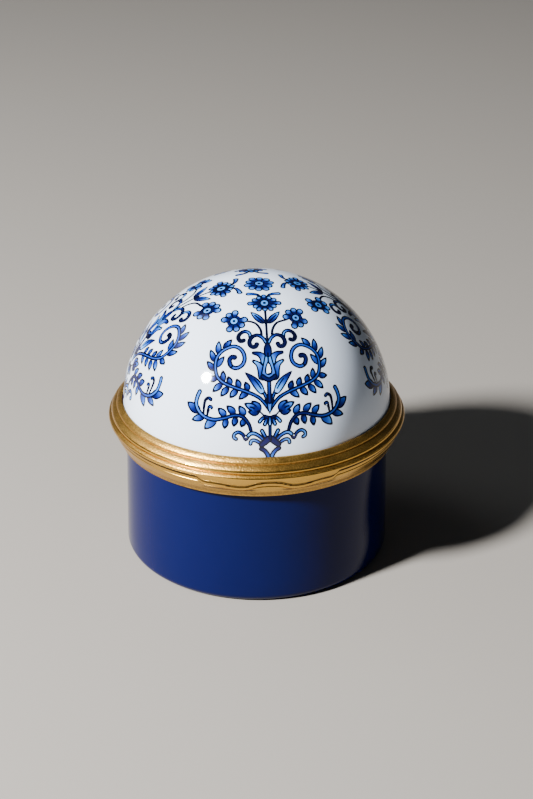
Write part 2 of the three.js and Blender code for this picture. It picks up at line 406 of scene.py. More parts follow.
def arc(centre, radius, start, end, steps):
    """Points on an arc, from one angle to another in degrees, where 0 is outwards and 90 is up."""
    angles = np.radians(np.linspace(start, end, steps + 1))
    return [(centre[0] + radius * math.cos(a), centre[1] + radius * math.sin(a)) for a in angles]


def bulge(start, end, height, steps, lean=1.0):
    """Points from start up to, but not at, end, bulging right. A lean below 1 crests near the start."""
    a = Vector(start)
    along = Vector(end) - a
    side = Vector((along.y, -along.x)).normalized()
    made = []
    for i in range(steps):
        out = height * math.sin(math.pi * (i / steps) ** lean) ** 0.8
        made.append(tuple(a + along * (i / steps) + side * out))
    return made


def split(start, end, step):
    """Points from start up to, but not at, end, no further apart than step."""
    a, b = Vector(start), Vector(end)
    count = max(1, math.ceil((b - a).length / step))
    return [tuple(a.lerp(b, i / count)) for i in range(count)]


# Base cup

CUP_SEGMENTS = 192
CUP_FLOOR = 1.1 * MM
CUP_INNER_ROUND = 1.6 * MM
ROW_STEP = 2.5 * MM
FLAT_STEP = 3 * MM


def cup_radius(z):
    """The cup's outer radius at a height: it flares evenly from its rim down to its foot."""
    s = sizes()
    foot, rim = CUP[1].x, CUP[1].x - s.cup_flare
    share = (CUP[1].z - z) / (CUP[1].z - s.foot_round)
    return rim + (foot - rim) * share


class RINGBOX_OT_base_cup(bpy.types.Operator):
    """Make the cup: navy enamel outside and white inside, over copper"""

    bl_idname = "ringbox.base_cup"
    bl_label = "Base Cup"

    def execute(self, context):
        s = sizes()
        foot, top = cup_radius(s.foot_round), CUP[1].z
        outside = [
            *split((0, 0), (foot - s.foot_round, 0), FLAT_STEP),
            *arc((foot - s.foot_round, s.foot_round), s.foot_round, -90, 0, 10),
        ]
        outside += split(outside[-1], (cup_radius(top), top), ROW_STEP)[1:]
        rim_round = 0.3 * s.wall
        rim_out, rim_in = cup_radius(top), cup_radius(top) - s.wall
        rim = [
            *arc((rim_out - rim_round, top - rim_round), rim_round, 0, 90, 4),
            *arc((rim_in + rim_round, top - rim_round), rim_round, 90, 180, 4),
        ]
        corner = (foot - s.wall - CUP_INNER_ROUND, CUP_FLOOR + CUP_INNER_ROUND)
        inside = [
            *split(rim[-1], (corner[0] + CUP_INNER_ROUND, corner[1]), ROW_STEP)[1:],
            *arc(corner, CUP_INNER_ROUND, 0, -90, 8),
        ]
        inside += split(inside[-1], (0, CUP_FLOOR), FLAT_STEP)[1:]
        outline = [*outside, *rim, *inside, (0, CUP_FLOOR)]
        piece = turned("base_cup_enamel", outline, navy_outside(), CUP_SEGMENTS, closed=False)
        mesh = piece.data
        mesh.materials.append(white_inside())
        white = len(mesh.materials) - 1
        for face in mesh.polygons:
            centre = face.center
            r = math.hypot(centre.x, centre.y)
            if centre.z > 0.5 * CUP_FLOOR and r < cup_radius(centre.z) - 0.6 * s.wall:
                face.material_index = white
        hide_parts("base_cup")
        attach(piece, "base")
        return {"FINISHED"}


# Gilt rims

REED_SHARES = (0.34, 0.42, 0.24)
REED_BULGE = 0.2
REED_LEAN = 0.65
REED_ROWS = 16
SKIRT_BULGE = 0.07 * MM
SKIRT_ROWS = 8
GROOVE_DOWN = 0.9 * MM
GROOVE_BELOW_THUMB = 0.25 * MM
GROOVE_WIDTH = 0.3 * MM
GROOVE_DEPTH = 0.12 * MM
DIP_START = 1.2 * MM
BAND_CROWN = 0.06 * MM
BAND_ROWS = 18
EDGE_ROUND = 0.12 * MM
LIP_DROP = 0.24 * MM
LIP_HANG = 0.04 * MM
LIP_ROUND = 0.2 * MM
LIP_INNER_ROUND = 0.08 * MM
# Painted shade: how far below the lid's lip its line on the base band runs, half that line's width, and how
# far it reaches in under the lip.
LINE_DOWN = 0.3 * MM
LINE_HALF = 0.1 * MM
DARK_LIP = 0.5 * MM
SOCKET_LIP = 0.12 * MM
COLLAR_CLEARANCE = 0.18 * MM
COLLAR_HEADROOM = 0.2 * MM
RING_SEGMENTS = 512
HINGE_HALF = 5.5 * MM
LID_KNUCKLE_HALF = 2.1 * MM
KNUCKLE_GAP = 0.15 * MM
KNUCKLE_BORE = 0.47 * MM
KNUCKLE_CHAMFER = 0.12 * MM
KNUCKLE_SEGMENTS = 48
PIN_DOME = 0.12 * MM
PIN_SEGMENTS = 32
LEAF = 0.5 * MM
# The thumb-piece's lower edge: share of its half angle from the front, and share of its depth
THUMB_EDGE = ((0, 0.32), (0.14, 0.45), (0.28, 0.88), (0.42, 1), (0.7, 0.75), (0.88, 0.68), (1, 0))


def seam_height():
    return BASE_RING[1].z - sizes().collar_height


def lid_bottom():
    return seam_height() + sizes().seam


def thumb_reach():
    return lid_bottom() - LID_RING[0].z


def along_hinge(start):
    """Lays a piece that was turned round the vertical axis down on the hinge's axis, from start on."""
    place = Matrix.Translation((start, HINGE_AXIS.y, HINGE_AXIS.z))
    return place @ Matrix.Rotation(math.pi / 2, 4, "Y")


def rounded(points, radius, steps=4):
    """A closed outline with each corner that turns sharply cut by a small arc."""
    count = len(points)
    made = []
    for i in range(count):
        before, here, after = (Vector(points[(i + k) % count]) for k in (-1, 0, 1))
        a, b = before - here, after - here
        turn = math.pi - a.angle(b)
        reach = min(radius, 0.45 * a.length, 0.45 * b.length)
        if turn < math.radians(25):
            made.append(tuple(here))
            continue
        start, end = here + a.normalized() * reach, here + b.normalized() * reach
        for k in range(steps + 1):
            t = k / steps
            made.append(tuple(start.lerp(here, t).lerp(here.lerp(end, t), t)))
    return made


def knuckle(name, start, end, leaf_low, leaf_high, ring_radius):
    """One barrel of the hinge and the leaf that carries it, as two objects to be joined to their rim."""
    radius = BASE_RING[1].y - HINGE_AXIS.y
    length = end - start
    outline = [
        (KNUCKLE_BORE, 0),
        (radius - KNUCKLE_CHAMFER, 0),
        (radius, KNUCKLE_CHAMFER),
        (radius, length - KNUCKLE_CHAMFER),
        (radius - KNUCKLE_CHAMFER, length),
        (KNUCKLE_BORE, length),
    ]
    barrel = turned(name, outline, gilt(), KNUCKLE_SEGMENTS)
    barrel.data.transform(along_hinge(start))
    bm = bmesh.new()
    bmesh.ops.create_cube(bm, size=1)
    back = HINGE_AXIS.y - 0.6 * radius
    front = math.sqrt(ring_radius**2 - max(abs(start), abs(end)) ** 2) - 0.5 * MM
    bmesh.ops.scale(bm, vec=(length, back - front, leaf_high - leaf_low), verts=bm.verts)
    centre = ((start + end) / 2, (front + back) / 2, (leaf_low + leaf_high) / 2)
    bmesh.ops.translate(bm, vec=centre, verts=bm.verts)
    bmesh.ops.bevel(bm, geom=bm.edges[:], offset=0.06 * MM, segments=2, affect="EDGES", profile=0.7)
    leaf = bpy.data.meshes.new(name + "_leaf")
    bm.to_mesh(leaf)
    bm.free()
    leaf.materials.append(gilt())
    return [barrel, link(bpy.data.objects.new(name + "_leaf", leaf))]


def join(piece, others):
    with bpy.context.temp_override(active_object=piece, selected_editable_objects=[piece, *others]):
        bpy.ops.object.join()


class RINGBOX_OT_base_rim(bpy.types.Operator):
    """Make the gilt rim of the base, with its collar and the two outer hinge barrels"""

    bl_idname = "ringbox.base_rim"
    bl_label = "Base Rim"

    def execute(self, context):
        s = sizes()
        low, seam = BASE_RING[0].z, seam_height()
        skirt_in = cup_radius(low) + s.setting_gap
        skirt_out = skirt_in + s.skirt_wall
        band = skirt_out + s.band_spread
        inside = cup_radius(CUP[1].z) - s.wall
        seat = CUP[1].z + s.setting_gap
        groove_top = (band, seam - GROOVE_DOWN)
        groove_floor = (band - 2 * GROOVE_DEPTH, groove_top[1] - GROOVE_WIDTH / 2)
        groove_low = (band - GROOVE_DEPTH, groove_top[1] - GROOVE_WIDTH)
        outline = rounded(
            [
                (skirt_in, low),
                (skirt_out, low),
                *bulge((skirt_out, low + 2 * EDGE_ROUND), groove_low, SKIRT_BULGE, SKIRT_ROWS),
                groove_low,
                groove_floor,
                *bulge(groove_top, (band, seam), BAND_CROWN, BAND_ROWS),
                (band, seam),
                (inside + s.collar_wall, seam),
                (inside + s.collar_wall, BASE_RING[1].z),
                (inside, BASE_RING[1].z),
                (inside, seat),
                (cup_radius(CUP[1].z) + s.setting_gap, seat),
            ],
            EDGE_ROUND,
        )
        ring = turned("base_rim_gilt", outline, gilt(), RING_SEGMENTS)
        self.lead_groove(ring.data, seam, seam - GROOVE_DOWN, low, band)
        self.mark_band(ring.data, band)
        start = LID_KNUCKLE_HALF + KNUCKLE_GAP
        parts = [
            *knuckle("base_barrel_left", -HINGE_HALF, -start, seam - LEAF, seam, band),
            *knuckle("base_barrel_right", start, HINGE_HALF, seam - LEAF, seam, band),
        ]
        join(ring, parts)
        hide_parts("base_bezel")
        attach(ring, "base")
        return {"FINISHED"}

    def mark_band(self, mesh, band):
        """The band is rubbed bright, with a line of painted shade just under the lid's lip that follows the
        thumb-piece's waved edge.
        """
        co = coordinates(mesh)
        _, angle = from_axis(co)
        lip = lid_bottom() - np.maximum(thumb_depth(angle) * thumb_reach(), LIP_DROP)
        # The line of painted shade, standing in for the shadow under the lip.
        dark = np.abs(co[:, 2] - lip + LINE_DOWN) < LINE_HALF

        def wear_and_shade_at(r, z):
            return np.where(r < band - 0.6 * sizes().band_spread, 0, np.where(dark, -1, 0.8))

        mark_wear_and_shade(mesh, wear_and_shade_at)

    def lead_groove(self, mesh, seam, groove, low, band):
        """Leads the groove round below the thumb-piece, along its waved edge."""
        co = coordinates(mesh)
        radius, angle = from_axis(co)
        dip = np.clip(thumb_depth(angle) * thumb_reach() - GROOVE_BELOW_THUMB, 0, None)
        share = np.interp(co[:, 2], (low + DIP_START, groove, seam), (0, 1, 0))
        outside = radius > band - 0.8 * sizes().band_spread
        co[outside, 2] -= (dip * share)[outside]
        set_coordinates(mesh, co)


def smooth_line(points, step):
    """Points along a smooth curve through the given ones, about step apart."""
    p = np.array([points[0], *points, points[-1]], float)
    p[0] = 2 * p[1] - p[2]
    p[-1] = 2 * p[-2] - p[-3]
    made = []
    for a, b, c, d in zip(p, p[1:], p[2:], p[3:]):
        count = max(2, math.ceil(np.linalg.norm(c - b) / step))
        t = (np.arange(count) / count)[:, None]
        curved = (2 * a - 5 * b + 4 * c - d) * t**2 + (3 * b - a - 3 * c + d) * t**3
        made.append(0.5 * (2 * b + (c - a) * t + curved))
    made.append(p[-2][None])
    return np.concatenate(made)


def thumb_depth(angle):
    """How far the thumb-piece hangs down at an angle from the front, as a share of its greatest depth."""
    line = smooth_line(THUMB_EDGE, 0.02)
    share = np.abs(angle) / sizes().thumb_angle
    return np.where(share < 1, np.interp(share, line[:, 0], line[:, 1]), 0)


class RINGBOX_OT_lid_rim(bpy.types.Operator):
    """Make the gilt rim of the lid: three reeds, the thumb-piece and the middle hinge barrel"""

    bl_idname = "ringbox.lid_rim"
    bl_label = "Lid Rim"

    def execute(self, context):
        s = sizes()
        bottom, top = lid_bottom(), LID_RING[1].z
        collar = cup_radius(CUP[1].z) - s.wall + s.collar_wall
        inside = collar + COLLAR_CLEARANCE
        ledge = BASE_RING[1].z + COLLAR_HEADROOM
        socket = DOME_RADIUS + s.setting_gap
        widest = LID_RING[1].x
        upper, lower = Vector((socket + SOCKET_LIP, top)), Vector((widest, bottom))
        slope = upper - lower
        reeds = []
        share = 0
        for part in reversed(REED_SHARES):
            start, end = lower + slope * share, lower + slope * (share + part)
            reeds += bulge(start, end, REED_BULGE * (end - start).length, REED_ROWS, REED_LEAN)
            share += part
        lip = widest - s.thumb_wall
        under = bottom - LIP_HANG - LIP_ROUND
        outline = [
            (inside, bottom + 0.1 * MM),
            (inside + 0.1 * MM, bottom),
            *split((inside + 0.3 * MM, bottom), (lip, bottom), 0.5 * MM),
            (lip, bottom),
            (lip, bottom - 0.4 * LIP_HANG),
            *arc((lip + LIP_INNER_ROUND, under + LIP_INNER_ROUND), LIP_INNER_ROUND, 180, 270, 3),
            *arc((widest - LIP_ROUND, bottom - LIP_HANG), LIP_ROUND, 270, 360, 7),
            *reeds[1:],
            tuple(upper),
            (socket, top),
            (socket, ledge),
            (inside, ledge),
        ]
        ring = turned("lid_rim_gilt", outline, gilt(), RING_SEGMENTS, sharp=math.radians(40))
        self.hang_thumb_piece(ring.data, bottom, lip)
        self.mark_reeds(ring.data, upper, lower)
        half = LID_KNUCKLE_HALF
        join(ring, knuckle("lid_barrel", -half, half, bottom, bottom + LEAF, widest - 0.6 * MM))
        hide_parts("lid_bezel")
        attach(ring, "lid")
        return {"FINISHED"}

    def hang_thumb_piece(self, mesh, bottom, lip):
        """Draws the lip under the widest reed down to the thumb-piece's waved edge."""
        co = coordinates(mesh)
        radius, angle = from_axis(co)
        below = (co[:, 2] < bottom - 0.3 * LIP_HANG) & (radius > lip - 0.01 * MM)
        drop = np.clip(thumb_depth(angle) * thumb_reach() - (bottom - co[below, 2].min()), 0, None)
        co[below, 2] -= drop[below]
        set_coordinates(mesh, co)

    def mark_reeds(self, mesh, upper, lower):
        """The outer side of each reed is rubbed bright and its upper side matt, with a line of painted shade
        between them, and painted shade darkens the lip's underside.
        """
        slope = upper - lower
        starts = np.cumsum((0, *reversed(REED_SHARES)))

        def wear_and_shade_at(r, z):
            share = ((r - lower.x) * slope.x + (z - lower.y) * slope.y) / slope.length_squared
            reed = np.clip(np.searchsorted(starts, share, side="right") - 1, 0, len(REED_SHARES) - 1)
            phase = (share - starts[reed]) / (starts[reed + 1] - starts[reed])
            # The dip to -0.5 is a line of painted shade on each reed.
            wear_and_shade = np.interp(phase, (0, 0.34, 0.41, 0.6, 0.9, 0.97, 1), (1, 1, -0.5, 0, 0.1, 0.8, 1))
            wear_and_shade = np.where(z < lower.y, 0.6, wear_and_shade)
            under = (z < lower.y - 0.02 * MM) & (r < lower.x - 0.004 * MM)
            # Painted shade on the lip's underside, reaching in from its outer edge.
            return np.where(under & (r > lower.x - DARK_LIP), -1, np.where(r < lower.x - DARK_LIP, 0, wear_and_shade))

        mark_wear_and_shade(mesh, wear_and_shade_at)


class RINGBOX_OT_pin(bpy.types.Operator):
    """Make the hinge pin, with slightly domed ends"""

    bl_idname = "ringbox.pin"
    bl_label = "Hinge Pin"

    def execute(self, context):
        low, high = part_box("hinge_pin")
        radius = (high.y - low.y) / 2
        length = high.x - low.x
        outline = [
            (0, 0),
            *arc((radius - PIN_DOME, PIN_DOME), PIN_DOME, -90, 0, 4),
            *arc((radius - PIN_DOME, length - PIN_DOME), PIN_DOME, 0, 90, 4),
            (0, length),
        ]
        pin = turned("hinge_pin_gilt", outline, gilt(), PIN_SEGMENTS, closed=False)
        pin.data.transform(along_hinge(low.x))
        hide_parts("hinge_pin")
        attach(pin, "base")
        return {"FINISHED"}


# The painting, drawn flat in millimetres on a sheet that is wrapped on the dome: x runs to the right of the
# motif's axis, and y up the dome from the level of the sphere's centre. A stroke covers those before it.

SHEET_MIDDLE = 12.5
STROKE_STEP = 0.16
INK_SPREAD = 0.05
# The tone that leaves the white enamel bare
BARE = 2.4
MOTIF_HEIGHT = 24.7
MOTIF_SHIFT = 0.24
# How far each of the four transfers, anticlockwise from the front, is swayed to the right and lifted at
# its flowers
MOTIF_LAYS = ((0.36, 0.0), (-0.45, 0.6), (0.3, 1.8), (1.4, 1.2))
APEX_FLOWER_PLACE = (0.2, -1.7)
APEX_FLOWER_REACH = 2.2
PAINTING_SEED = 7
RIM_COUNT = 256
DOME_RINGS = 30
RING_TWIST = 0.37
SHELL_ROWS = 40


def circle(count, turn=0.0):
    """Points evenly round a circle of radius 1."""
    turns = np.linspace(0, 2 * math.pi, count, endpoint=False) + turn
    return np.stack([np.cos(turns), np.sin(turns)], 1)


class Stroke:
    """A painted shape: its inked outline, its coloured inside, and a line across with a tone at each end."""

    def __init__(self, outer, inner, ends, tones):
        self.outer = outer
        self.inner = inner
        self.ends = ends
        self.tones = tones

    def moved(self, move):
        """The same stroke with its points moved by a function."""
        inner = None if self.inner is None else move(self.inner)
        return Stroke(move(self.outer), inner, move(self.ends), self.tones)


def and_mirrored(strokes):
    """Each stroke followed by its mirror image about the motif's axis."""
    return [one for stroke in strokes for one in (stroke, stroke.moved(lambda p: p * (-1, 1)))]


def ribbon(line, half):
    """The outline of a line with a half width at each of its points, with round ends."""
    along = np.gradient(line, axis=0)
    along /= np.linalg.norm(along, axis=1)[:, None] + 1e-12
    side = np.stack([-along[:, 1], along[:, 0]], 1)
    left, right = line + side * half[:, None], line - side * half[:, None]

    def cap(centre, radius, heading):
        start = math.atan2(heading[1], heading[0]) + math.pi / 2
        count = max(2, round(math.pi * radius / STROKE_STEP))
        turns = start - math.pi * np.arange(1, count) / count
        return centre + radius * np.stack([np.cos(turns), np.sin(turns)], 1)

    far, near = cap(line[-1], half[-1], along[-1]), cap(line[0], half[0], -along[0])
    return np.concatenate([left, far, right[::-1], near])


def stem(points, width, end_width=None, tones=(0.2, 0.8)):
    """A stroke along a smooth curve, as wide as given at its start and end. A thin one is ink alone."""
    ink = sizes().ink_line / MM
    line = smooth_line(points, STROKE_STEP)
    run = np.linspace(0, 1, len(line))
    half = (width + ((end_width or width) - width) * run) / 2 + INK_SPREAD
    wide = np.nonzero(half > 1.15 * ink)[0]
    inner = None
    if len(wide) > 3:
        kept = slice(wide[0], wide[-1] + 1)
        inner = ribbon(line[kept], half[kept] - ink)
    return Stroke(ribbon(line, half), inner, line[[0, -1]], tones)


def leaf(base, tip, width, bend=0.0, point=0.75, tones=(0.15, 0.95)):
    """A leaf from its base to its tip, bowed sideways by bend, fullest below its middle."""
    ink = sizes().ink_line / MM
    a, b = np.asarray(base, float), np.asarray(tip, float)
    along = b - a
    length = np.linalg.norm(along)
    side = np.array([-along[1], along[0]]) / length
    count = max(7, round(1.2 * length / STROKE_STEP))
    t = np.linspace(0, 1, count)[:, None]
    middle = a + along * t + side * bend * np.sin(math.pi * t)

    def edge(margin):
        cut = margin / length
        share = np.clip((t - 0.6 * cut) / (1 - 2.2 * cut), 0, 1)
        full = np.sin(math.pi * share**point) ** 0.7
        half = (width / 2 + INK_SPREAD - margin) * full
        kept = ((t >= 0.6 * cut) & (t <= 1 - 1.6 * cut))[:, 0]
        line, half = middle[kept], half[kept]
        return np.concatenate([line + side * half, (line - side * half)[-2:0:-1]])

    dark_side = a + 0.2 * along - side * 0.45 * width
    pale_side = a + 0.75 * along + side * 0.4 * width
    return Stroke(edge(0.0), edge(ink), np.stack([dark_side, pale_side]), tones)


def leaf_row(places, width, bend, point, tones, step=0.0):
    """A leaf for each base and tip, its pale end a step paler from one to the next."""
    return [
        leaf(base, tip, width, bend, point, (tones[0], tones[1] + step * i))
        for i, (base, tip) in enumerate(places)
    ]


def disc(centre, radius, inner_radius=None, tones=(1, 1)):
    round_line = circle(max(10, round(2 * math.pi * radius / STROKE_STEP)))
    middle = np.asarray(centre, float)
    inner = None if inner_radius is None else middle + inner_radius * round_line
    return Stroke(middle + radius * round_line, inner, np.stack([middle, middle + (radius, 0)]), tones)


def flower(centre, reach, petals, turn=0.0, squash=1.0, longer=()):
    """A round flower: petals with pale tips, parted by ink, round a dark heart with a pale ring and eye."""
    middle = np.asarray(centre, float)
    half = 0.86 * reach * math.pi / petals
    leaves, parts = [], []
    for k in range(petals):
        a = turn + 2 * math.pi * k / petals
        far = reach * (1.25 if k in longer else 1 + 0.06 * math.sin(2.6 * k + centre[0])) - 0.9 * half
        way = np.array([math.cos(a), math.sin(a) * squash])
        between = np.array([math.cos(a + math.pi / petals), math.sin(a + math.pi / petals) * squash])
        line = [middle + way * share for share in (0.3 * reach, 0.65 * reach, far)]
        leaves.append(stem(line, half, 1.8 * half, (-1.0, 0.85)))
        parts.append(stem([middle + between * reach * share for share in (0.4, 0.6, 0.8)], 0.1))
    heart = [
        disc(centre, 0.56 * reach, 0.55 * reach, (-0.4, -0.2)),
        *parts,
        disc(centre, 0.36 * reach, 0.25 * reach, (0.9, 0.9)),
        disc(centre, 0.12 * reach),
    ]
    return leaves + heart


def palmette():
    """The root of the motif: two arms that cross on the rim, and the fan of fingers that grows from them."""
    hook = [(3.1, 4.5), (3.5, 4.0), (3.85, 4.7), (4.5, 5.1), (5.1, 4.85), (5.2, 4.35), (4.88, 4.12)]
    return [
        stem(hook, 0.5, 0.56, (-0.4, 0.9)),
        stem([(0.85, 3.7), (1.5, 4.4), (2.2, 4.8), (2.75, 4.82), (3.12, 4.55)], 0.54, 0.62, (0.3, 1)),
        stem([(1.2, 3.15), (1.7, 3.58), (2.25, 3.84), (2.72, 3.75), (2.84, 3.35)], 0.54, 0.56, (0.1, 1)),
        stem([(0.5, 3.95), (0.85, 4.6), (1.15, 5.15)], 0.5, 0.6, (0.2, 1)),
        stem([(0.16, 1.05), (0.42, 1.75), (0.85, 2.3), (1.3, 2.55)], 0.7, 0.66, (0.9, -0.2)),
        stem([(0.24, 3.94), (0.7, 3.55), (1.2, 3.16)], 1.0, 0.86, (-0.2, -0.3)),
    ]


def fan_flower():
    """The small flower that hangs upside down above the palmette."""
    return [
        stem([(0.75, 7.1), (1.15, 6.82), (1.45, 6.46)], 0.52, 0.56, (-0.1, 1)),
        stem([(0.4, 6.9), (0.6, 6.4), (0.72, 6.08)], 0.5, 0.58, (-0.1, 1)),
        stem([(0.05, 6.95), (0.42, 7.08), (0.78, 7.22)], 0.52, 0.44, (-0.3, -0.3)),
    ]


def berry_leaf():
    """The three-lobed leaf beside the fan flower, on its thin stalk."""
    return [
        stem([(0.9, 7.38), (1.15, 7.62), (1.4, 7.9)], 0.16),
        leaf((1.35, 7.8), (3.15, 7.95), 1.0, -0.1, 0.8, (-0.4, 0.3)),
        leaf((1.3, 7.8), (2.55, 9.45), 1.2, 0.1, 0.85, (-0.4, 0.7)),
        leaf((1.7, 8.1), (3.6, 9.15), 1.05, 0.0, 0.8, (-0.1, 1.0)),
        disc((2.1, 8.25), 0.42, 0.41, (-0.2, 0.3)),
        stem([(2.15, 8.3), (2.45, 8.5), (2.75, 8.55)], 0.13),
    ]


def lower_spray():
    """The long spray that sweeps out low over the dome and turns up at its tip."""
    made = [
        stem([(9.0, 7.6), (8.8, 8.4), (8.55, 9.0), (8.3, 8.85)], 0.22, 0.56, (-0.2, 0.2)),
        stem([(9.5, 8.0), (9.35, 9.2), (9.1, 10.0), (8.6, 10.25), (8.3, 10.0)], 0.24, 0.5, (-0.2, 0.2)),
        leaf((7.6, 7.2), (9.6, 5.75), 1.4, 0.1, 0.8, (0.1, 1.0)),
        leaf((9.3, 7.6), (11.5, 7.3), 1.14, 0.05, 0.8, (-0.4, 0.8)),
        leaf((10.0, 8.3), (12.0, 10.05), 1.4, -0.05, 0.75, (-0.4, 0.7)),
    ]
    above = (((3.5, 7.3), (4.35, 8.9)), ((4.85, 7.6), (6.1, 9.0)), ((6.2, 7.35), (7.35, 8.75)))
    below = (((3.45, 7.0), (4.15, 5.75)), ((4.7, 7.35), (5.2, 5.85)), ((6.1, 7.2), (6.55, 5.6)))
    sweep = [(2.72, 5.3), (3.05, 6.3), (3.85, 7.25), (5.0, 7.5), (6.5, 7.2), (8.0, 7.1), (9.35, 7.6)]
    rise = [(10.2, 8.5), (10.55, 9.6), (10.3, 10.6), (9.92, 11.3)]
    return [
        *made,
        *leaf_row(above, 1.05, 0.05, 0.8, (-0.4, 0.9)),
        *leaf_row(below, 0.98, 0.03, 0.85, (-0.4, 0.7), 0.1),
        stem(sweep + rise, 0.5, 0.66, (-0.2, 0.7)),
    ]


def garland():
    """The leafy garland that rises from the V, turns over and winds into a spiral."""
    above = (((2.9, 10.7), (3.35, 12.2)), ((4.15, 11.15), (4.5, 12.7)), ((5.4, 11.65), (5.7, 13.15)),
             ((6.5, 12.15), (6.4, 14.05)))
    below = (((2.8, 10.85), (4.35, 9.65)), ((4.4, 11.15), (5.6, 9.95)), ((5.6, 11.55), (6.9, 10.25)),
             ((6.5, 12.15), (8.05, 11.0)))
    outward = (((7.15, 12.9), (8.75, 13.0)), ((7.45, 14.0), (8.75, 15.7)), ((7.45, 15.3), (8.2, 17.4)),
               ((7.0, 16.4), (6.9, 18.6)), ((6.3, 17.1), (4.95, 18.6)))
    rise = [(0.0, 8.0), (0.65, 8.95), (1.5, 9.85), (3.0, 10.65), (4.8, 11.4), (6.2, 12.1), (7.15, 13.0)]
    turn = [(7.48, 14.2), (7.4, 15.5), (6.95, 16.4), (6.05, 17.1), (4.75, 17.42), (3.7, 16.8)]
    curl = [(3.28, 15.6), (3.6, 14.6), (4.5, 14.15), (5.25, 14.55), (5.45, 15.3), (5.15, 15.8), (4.7, 15.75)]
    return [
        leaf((7.5, 14.5), (6.1, 16.1), 0.95, 0.0, 0.8, (0.1, 0.7)),
        *leaf_row(above, 0.9, 0.04, 0.85, (-0.4, 0.6), 0.1),
        *leaf_row(below, 1.0, 0.05, 0.8, (-0.4, 0.85), 0.1),
        *leaf_row(outward, 0.96, -0.03, 0.8, (-0.45, 0.95)),
        stem(rise + turn + curl, 0.5, 0.62, (0.2, 0.5)),
        stem(curl[-4:], 0.6, 0.74, (0.1, -0.4)),
    ]


def long_leaf():
    """The long blade that leans out from the middle stem."""
    return [
        stem([(0.2, 8.9), (0.5, 9.9), (0.95, 10.9)], 0.5, 0.46, (0.0, 0.7)),
        leaf((0.8, 10.2), (3.35, 13.5), 1.2, 0.22, 0.7, (1.2, -0.3)),
        stem([(1.1, 11.0), (1.6, 11.8), (2.05, 12.4)], 0.1),
    ]


def tulip():
    """The two pairs of petals that curl out from the tall tulip on the axis."""
    return [
        stem([(0.42, 14.9), (0.75, 15.55), (1.25, 16.0), (2.0, 16.2)], 1.35, 0.5, (1.1, -0.4)),
        stem([(0.78, 12.9), (1.02, 13.75), (1.4, 14.5), (2.05, 15.0)], 1.5, 0.45, (0.0, 1.1)),
    ]


def tulip_middle():
    """The tulip's bell with its drop-shaped opening and dark foot, and the bud above it."""
    foot = [(-0.86, 12.74), (-0.45, 12.42), (0, 12.26), (0.45, 12.42), (0.86, 12.74)]
    return [
        stem([(0, 13.25), (0, 14.4), (0, 15.7)], 2.1, 0.95, (0.6, 1)),
        stem(foot, 0.66, 0.66, (-0.3, -0.4)),
        leaf((0, 15.4), (0, 18.0), 1.15, 0.0, 0.8, (0.2, -0.4)),
        leaf((0, 12.86), (0, 15.0), 0.98, 0.0, 0.6, (BARE, BARE)),
        stem([(0, 14.8), (0, 16.1)], 0.16),
    ]


def scrolls():
    """The two small C-scrolls above the tulip."""
    upper = [(2.35, 18.5), (2.5, 19.3), (3.1, 19.65), (3.8, 19.35), (4.1, 18.7), (3.78, 18.15), (3.34, 18.22)]
    lower = [(0.2, 17.7), (0.65, 18.5), (1.4, 18.93), (2.2, 18.6), (2.54, 17.8), (2.25, 17.2), (1.72, 17.14),
             (1.5, 17.5)]
    return [stem(upper, 0.52, 0.62, (1.0, -0.4)), stem(lower, 0.52, 0.64, (0.9, -0.4))]


def flower_stalks():
    """The thin stalk of the side flower and the leaf beside the middle stalk."""
    return [
        stem([(0.75, 19.0), (0.9, 19.9), (1.6, 20.95), (3.0, 21.5)], 0.32, 0.26),
        leaf((0.2, 20.8), (2.2, 23.05), 1.08, 0.0, 0.75, (-0.5, 1.0)),
        stem([(0.5, 21.15), (1.0, 21.75), (1.6, 22.4)], 0.12),
    ]


def top_buds():
    """The bud beside the uppermost flower."""
    return [stem([(0.5, 25.9), (0.85, 26.45), (1.5, 26.75), (2.4, 26.85)], 0.36, 0.7, (-0.2, 0.8))]


def motif():
    """The whole upright motif, from the back to the front of the painting."""
    made = []
    for part in (lower_spray, garland, long_leaf, palmette, fan_flower, berry_leaf, flower_stalks, scrolls):
        made += and_mirrored(part())
    made += [
        stem([(0, 4.05), (0, 5.9)], 0.46, 0.46, (0.0, 0.1)),
        stem([(0, 6.95), (0, 6.05)], 0.5, 0.6, (0.0, 1.0)),
        leaf((0, 10.4), (0, 7.4), 0.9, 0.0, 0.6, (0.2, 1.0)),
        stem([(0, 9.2), (0, 12.2)], 0.62, 0.56, (-0.1, 0.4)),
        stem([(0, 18.0), (0, 23.4)], 0.3),
    ]
    made += and_mirrored(tulip() + top_buds())
    made += [
        *tulip_middle(),
        *flower((4.52, 21.95), 1.95, 9, 0.3),
        *flower((-4.65, 21.6), 1.95, 9, math.pi - 0.3),
        *flower((0, 24.7), 2.1, 12, 0.0, 0.8, (0, 6)),
    ]
    return made


def on_transfer(points, sway, lift):
    """Where the transfer was laid: a little to the side, swayed and lifted most at the flowers."""
    rise = np.clip(points[:, 1] / MOTIF_HEIGHT, 0, 1.1)
    return points + np.stack([MOTIF_SHIFT + sway * rise**1.5, lift * rise**2], 1)


def on_sphere(sheet, turn):
    """Unit directions for places on the sheet, wrapped about its middle and turned round the axis."""
    radius = DOME_RADIUS / MM
    tilt = SHEET_MIDDLE / radius
    flat = (sheet - (0, SHEET_MIDDLE)) / radius
    far = np.hypot(flat[:, 0], flat[:, 1])
    scale = np.sinc(far / math.pi)
    east, north, out = flat[:, 0] * scale, flat[:, 1] * scale, np.cos(far)
    y = -out * math.cos(tilt) + north * math.sin(tilt)
    z = out * math.sin(tilt) + north * math.cos(tilt)
    c, s = math.cos(turn), math.sin(turn)
    return np.stack([c * east - s * y, s * east + c * y, z], 1)


